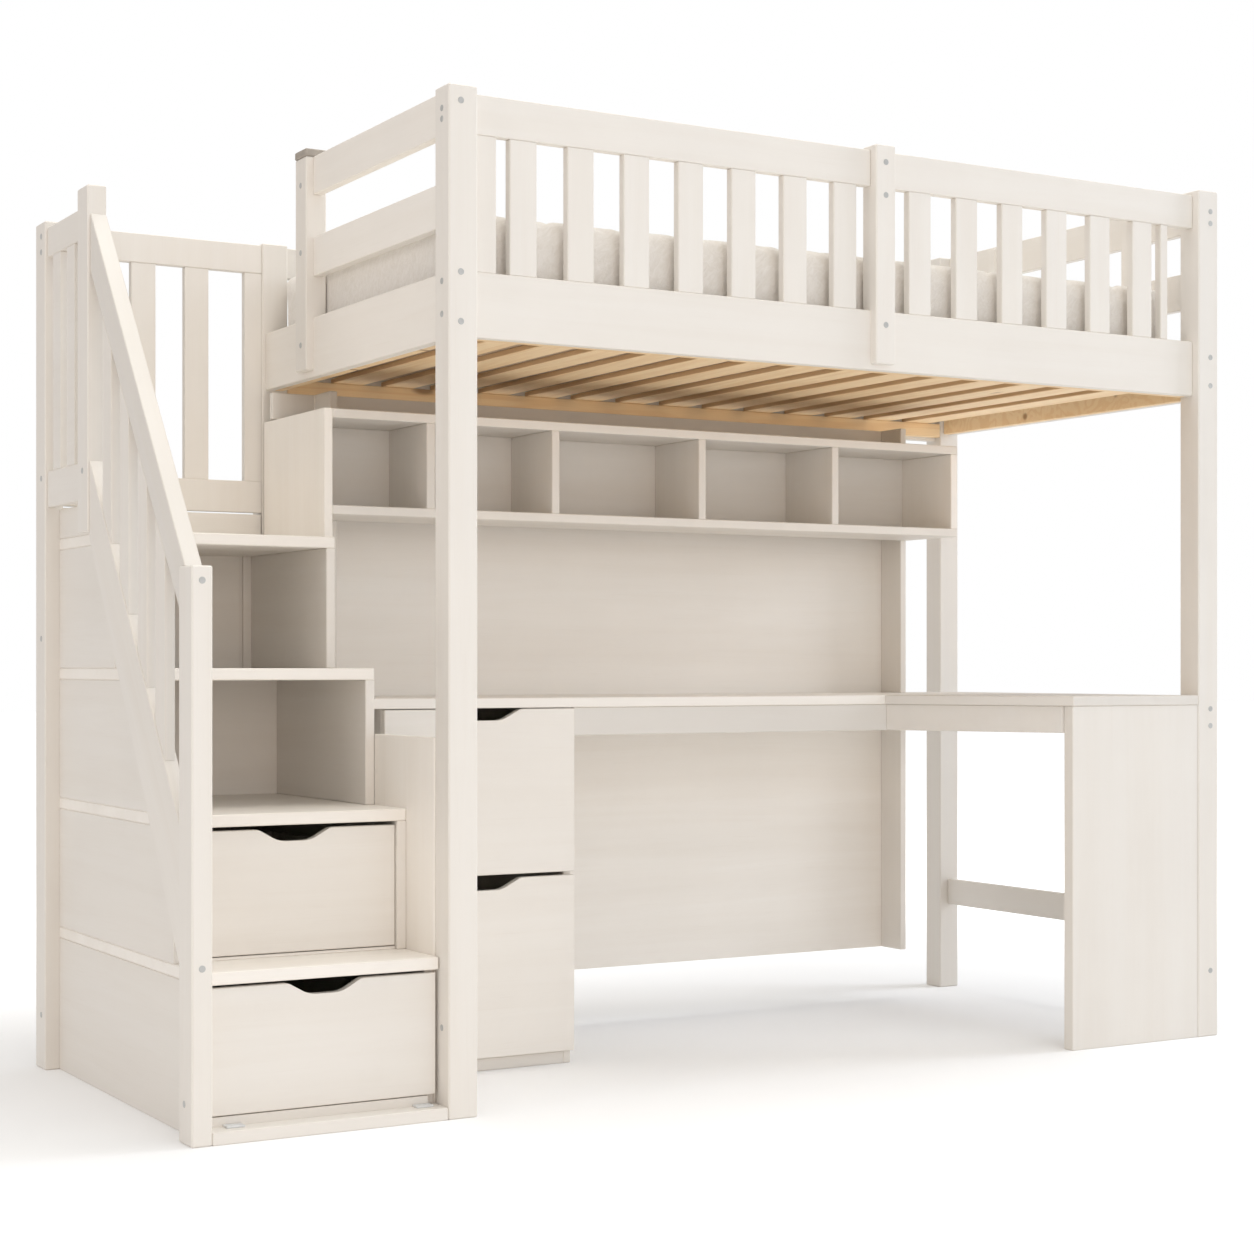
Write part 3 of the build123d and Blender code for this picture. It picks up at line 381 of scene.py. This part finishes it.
# ------------------------------------------------------------------ mattress
VOXEL = 0.0125
INSET = (0.004, 0.004, 0.002)   # the block starts this much inside the CAD mattress
FRAMES = 20                     # length of the cloth simulation
SEAM_PIN = 0.6                  # how firmly the sewn lines are held during it
SEAM_HALF = 0.09                # how near a sewn line a point is held, in parts of a diamond
SKIN = 0.004                    # metres from the top or foot that count as on it
SWELL = 0.008                   # how far the filling may push a point out
SEWN_DEPTH = 0.0050
SEWN_WIDTH = 0.10               # how wide a sewn dent is, in parts of a diamond
PUFF_HEIGHT = 0.0022
PUFF_SWAY = 0.22                # how far the side puffs lean to and fro, in parts of their pitch
FADE = 0.03                     # metres above the foot over which the shaping fades in
CRUSH = ((18.0, 0.0010), (62.0, 0.0006))    # the crushed pile's frequencies and heights
QUILT = (0.190, 0.156)          # size of the quilt's diamonds on the top
QUILT_BOW = (0.10, 0.05)        # how far their lines wander, in parts of a diamond
SIDE_PUFF = 0.127               # pitch of the soft puffs down the sides
MATTRESS_ROUND = (0.034, 0.020)  # size of its round upright corners and of its rims


def rounded_block(low, high, corner, rim):
    """A block with round upright corners and softly rounded rims."""
    mesh = bpy.data.meshes.new("mattress_start")
    obj = bpy.data.objects.new("mattress_start", mesh)
    scene.collection.objects.link(obj)
    bm = bmesh.new()
    bmesh.ops.create_cube(bm, size=1.0)
    for v in bm.verts:
        for i in range(3):
            v.co[i] = low[i] if v.co[i] < 0 else high[i]
    upright = [e for e in bm.edges if abs(e.verts[0].co.z - e.verts[1].co.z) > 0.01]
    bmesh.ops.bevel(bm, geom=upright, offset=corner, segments=8, affect="EDGES", profile=0.5)
    top = [e for e in bm.edges if all(abs(v.co.z - high[2]) < 1e-5 for v in e.verts)]
    bmesh.ops.bevel(bm, geom=top, offset=rim, segments=7, affect="EDGES", profile=0.5)
    foot = [e for e in bm.edges if all(abs(v.co.z - low[2]) < 1e-5 for v in e.verts)]
    bmesh.ops.bevel(bm, geom=foot, offset=rim * 0.5, segments=4, affect="EDGES", profile=0.5)
    bm.to_mesh(mesh)
    bm.free()
    return obj


def vertex_array(mesh):
    co = np.empty(len(mesh.vertices) * 3, np.float32)
    mesh.vertices.foreach_get("co", co)
    return co.reshape(-1, 3).astype(float)


def store(mesh, co):
    mesh.vertices.foreach_set("co", co.astype(np.float32).ravel())
    mesh.update()


def quilt_depth(co, low):
    """0 on the quilt's sewn lines and 1 well inside its puffs, for each point."""
    x = (co[:, 0] - low[0]) / QUILT[0]
    y = (co[:, 1] - low[1]) / QUILT[1]
    bow = QUILT_BOW[0] * np.sin(2 * math.pi * y) + QUILT_BOW[1] * np.sin(4.1 * x)
    across = np.abs(((x + y + bow) % 1.0) - 0.5) * 2
    other = np.abs(((x - y + bow) % 1.0) - 0.5) * 2
    return np.minimum(1 - across, 1 - other)


def swell(obj, pinned):
    """Fills the block out with a short cloth simulation, and applies it."""
    start = vertex_array(obj.data)
    group = obj.vertex_groups.new(name="pinned")
    for weight in (1.0, SEAM_PIN):
        chosen = np.flatnonzero(pinned == weight).tolist()
        group.add(chosen, weight, "REPLACE")
    cloth = obj.modifiers.new("swell", "CLOTH")
    settings = cloth.settings
    settings.quality = 4
    settings.mass = 0.3
    settings.tension_stiffness = 12
    settings.compression_stiffness = 8
    settings.bending_stiffness = 1.2
    settings.use_pressure = True
    settings.uniform_pressure_force = 4
    settings.effector_weights.gravity = 0
    settings.vertex_group_mass = "pinned"
    settings.pin_stiffness = 1.0
    cloth.collision_settings.use_collision = False
    cloth.point_cache.frame_start = 1
    cloth.point_cache.frame_end = FRAMES
    for number in range(1, FRAMES + 1):
        scene.frame_set(number)
    graph = bpy.context.evaluated_depsgraph_get()
    shaped = obj.evaluated_get(graph).to_mesh()
    end = vertex_array(shaped)
    obj.evaluated_get(graph).to_mesh_clear()
    obj.modifiers.remove(cloth)
    obj.vertex_groups.clear()
    scene.frame_set(1)
    move = end - start
    length = np.linalg.norm(move, axis=1)
    allow = SWELL * np.tanh(length / SWELL)
    scale = np.where(length > 1e-9, allow / np.maximum(length, 1e-9), 0.0)
    store(obj.data, start + move * scale[:, None])


def soften(obj, low, high):
    """Presses the sewn lines in, puffs the sides and crushes the pile a little."""
    mesh = obj.data
    co = vertex_array(mesh)
    normal = np.empty(len(mesh.vertices) * 3, np.float32)
    mesh.vertices.foreach_get("normal", normal)
    normal = normal.reshape(-1, 3).astype(float)
    top = np.clip((normal[:, 2] - 0.25) / 0.5, 0, 1)
    side = np.clip(1 - np.abs(normal[:, 2]) / 0.8, 0, 1)
    depth = quilt_depth(co, low)
    line = np.exp(-(depth / SEWN_WIDTH) ** 2)
    run = np.where(np.abs(normal[:, 0]) > np.abs(normal[:, 1]), co[:, 1] - low[1], co[:, 0] - low[0])
    up = (co[:, 2] - low[2]) / (high[2] - low[2])
    phase = run / SIDE_PUFF + PUFF_SWAY * np.sin(2 * math.pi * up)
    puff = 0.5 + 0.5 * np.cos(2 * math.pi * phase)
    push = -SEWN_DEPTH * line * top + PUFF_HEIGHT * (puff - 0.6) * side
    crush = np.empty(len(co))
    for i, p in enumerate(co):
        spot = Vector(p)
        crush[i] = sum(noise.noise(spot * often) * height for often, height in CRUSH)
    lift = np.clip((co[:, 2] - low[2]) / FADE, 0, 1)
    push = (push + crush) * lift
    store(mesh, co + normal * push[:, None])


def keep_inside(obj, low, high):
    co = vertex_array(obj.data)
    store(obj.data, np.clip(co, np.array(low), np.array(high)))


def mattress():
    low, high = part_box("mattress")
    start_low = (low[0] + INSET[0], low[1] + INSET[1], low[2])
    start_high = tuple(high[i] - INSET[i] for i in range(3))
    obj = rounded_block(start_low, start_high, *MATTRESS_ROUND)
    obj.data.remesh_voxel_size = VOXEL
    bpy.context.view_layer.objects.active = obj
    obj.select_set(True)
    bpy.ops.object.voxel_remesh()
    obj.name = "mattress_plush"
    co = vertex_array(obj.data)
    pinned = np.zeros(len(co))
    seam = (quilt_depth(co, low) < SEAM_HALF) & (co[:, 2] > start_high[2] - SKIN)
    pinned[seam] = SEAM_PIN
    pinned[co[:, 2] < start_low[2] + SKIN] = 1.0
    swell(obj, pinned)
    sub = obj.modifiers.new("smooth", "SUBSURF")
    sub.levels = 1
    sub.render_levels = 1
    bpy.ops.object.modifier_apply(modifier=sub.name)
    for polygon in obj.data.polygons:
        polygon.use_smooth = True
    soften(obj, low, high)
    keep_inside(obj, low, high)
    obj.data.materials.clear()
    obj.data.materials.append(plush("plush_cover"))
    obj.select_set(False)
    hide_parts("mattress")
    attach(obj, BODY)


# ------------------------------------------------------------------ studio
FLOOR_HALF = 40.0
FILL = (1.0, 0.975, 0.965, 1)   # the surroundings' light and its strength
FILL_STRENGTH = 0.54
# place, target, size, power and colour
LIGHTS = {
    "from_right": ((7.5, -1.5, 3.2), (0, 0, 1), 4.0, 315, (0.845, 0.905, 1.0)),
    "overhead": ((0, -0.5, 7.0), (0, 0, 0), 6.0, 255, (1.0, 0.995, 0.95)),
    "from_left": ((-7.5, -1.0, 3.2), (0, 0, 1), 4.0, 76, (1.0, 0.95, 0.93)),
    "front": ((0.4, -8.5, 3.4), (0.1, 0, 1), 6.0, 66, (0.55, 0.80, 1.0)),
    "front_low": ((-1.8, -6.0, 1.1), (-0.9, 0, 0.9), 3.0, 57, (1.0, 0.83, 0.71)),
}
CAMERA_PLACE = (-2.6774, -4.4913, 0.8707)
CAMERA_TURN = (math.pi / 2, 0, -0.5292)
SENSOR = 36
LENS = 65.63
RISE = 0.0326                   # lifts the view so that upright edges stay upright


def studio_floor():
    corners = [(x * FLOOR_HALF, y * FLOOR_HALF, 0) for x, y in ((-1, -1), (1, -1), (1, 1), (-1, 1))]
    mesh = bpy.data.meshes.new("studio_floor")
    mesh.from_pydata(corners, [], [(0, 1, 2, 3)])
    obj = bpy.data.objects.new("studio_floor", mesh)
    scene.collection.objects.link(obj)
    mesh.materials.append(floor_paint("floor_white", cad_box[1][0], cad_box[1][1]))


def area_light(name, place, target, size, power, colour):
    light = bpy.data.lights.new(name, "AREA")
    light.shape = "DISK"
    light.size = size
    light.energy = power
    light.color = colour
    obj = bpy.data.objects.new(name, light)
    scene.collection.objects.link(obj)
    obj.location = place
    aim = Vector(target) - Vector(place)
    obj.rotation_euler = aim.to_track_quat("-Z", "Y").to_euler()


def surroundings():
    """White to look at, and dimmer as light."""
    world = bpy.data.worlds.new("studio")
    scene.world = world
    world.use_nodes = True
    tree = world.node_tree
    tree.nodes.clear()
    out = tree.nodes.new("ShaderNodeOutputWorld")
    mix = tree.nodes.new("ShaderNodeMixShader")
    ray = tree.nodes.new("ShaderNodeLightPath")
    fill = tree.nodes.new("ShaderNodeBackground")
    seen = tree.nodes.new("ShaderNodeBackground")
    fill.inputs[0].default_value = FILL
    fill.inputs[1].default_value = FILL_STRENGTH
    seen.inputs[0].default_value = (1, 1, 1, 1)
    seen.inputs[1].default_value = 1.0
    tree.links.new(ray.outputs["Is Camera Ray"], mix.inputs[0])
    tree.links.new(fill.outputs[0], mix.inputs[1])
    tree.links.new(seen.outputs[0], mix.inputs[2])
    tree.links.new(mix.outputs[0], out.inputs[0])


def lights():
    surroundings()
    for name, setting in LIGHTS.items():
        area_light(name, *setting)


def camera():
    """Level, from the front left, a little under a metre above the floor."""
    data = bpy.data.cameras.new("camera")
    obj = bpy.data.objects.new("camera", data)
    scene.collection.objects.link(obj)
    obj.location = CAMERA_PLACE
    obj.rotation_euler = CAMERA_TURN
    data.sensor_width = SENSOR
    data.lens = LENS
    data.shift_y = RISE
    data.clip_end = 200
    data.dof.use_dof = False
    scene.camera = obj


def main():
    node_materials()
    mattress()
    studio_floor()
    lights()
    camera()
    scene.view_settings.view_transform = "Standard"
    scene.view_settings.look = "None"


main()
